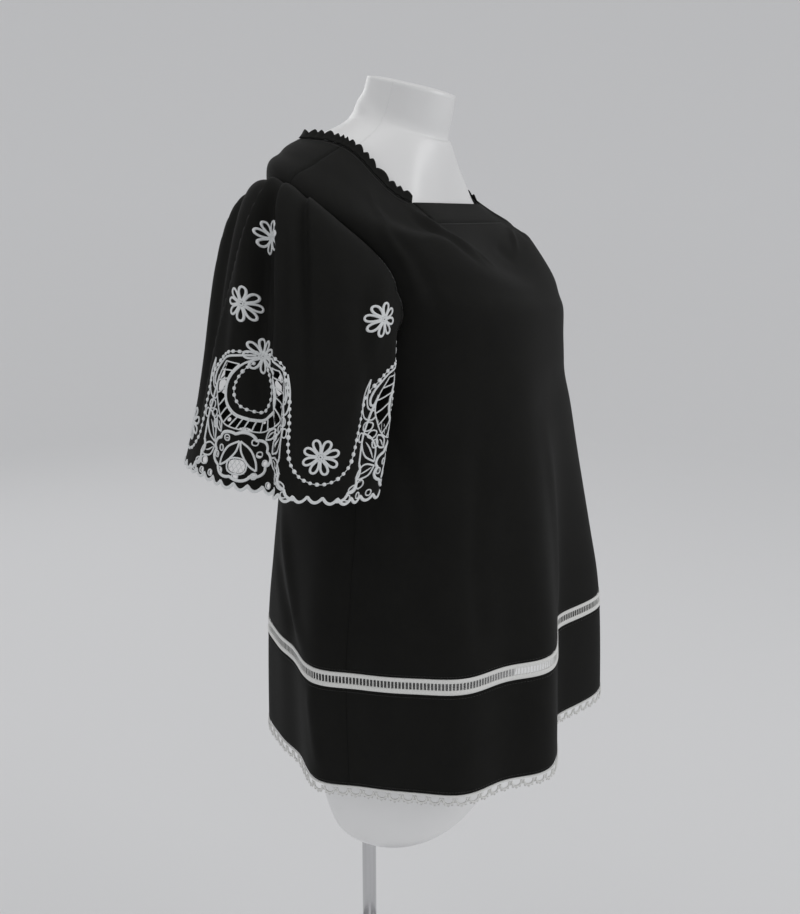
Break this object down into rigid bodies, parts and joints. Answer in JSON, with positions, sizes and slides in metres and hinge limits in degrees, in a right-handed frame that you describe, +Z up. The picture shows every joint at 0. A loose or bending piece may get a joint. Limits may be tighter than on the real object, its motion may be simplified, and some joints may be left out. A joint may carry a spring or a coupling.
{
  "type": "tunic blouse on a dress form",
  "caption": "A-line tunic blouse with a square neck, cutwork sleeves, ladder insertion and lace hem, shown on a limbless dress form with a pole and base.",
  "frame": {"origin": "on the floor, at the middle of the base plate's underside, under the pole", "axes": "+Z up, the blouse faces -Y, the wearer's left is +X"},
  "size_m": [0.6516, 0.4472, 1.2218],
  "materials": {
    "cloth": "matt black plain-weave cotton with white embroidery on the sleeves",
    "trim": "white cotton lace and ladder insertion",
    "form": "semi-gloss white moulded plastic",
    "stand": "polished chrome"
  },
  "bodies": {
    "root": {"body_front": "cloth", "body_back": "cloth", "front_neck_band": "cloth", "neck_ruffle": "cloth", "border_front": "cloth", "border_back": "cloth", "sleeve_right_front": "cloth", "sleeve_right_back": "cloth", "sleeve_left_front": "cloth", "sleeve_left_back": "cloth", "ladder_front": "trim", "ladder_back": "trim", "hem_lace_front": "trim", "hem_lace_back": "trim", "dress_form": "form", "pole": "stand", "base": "stand"}
  },
  "joints": []
}
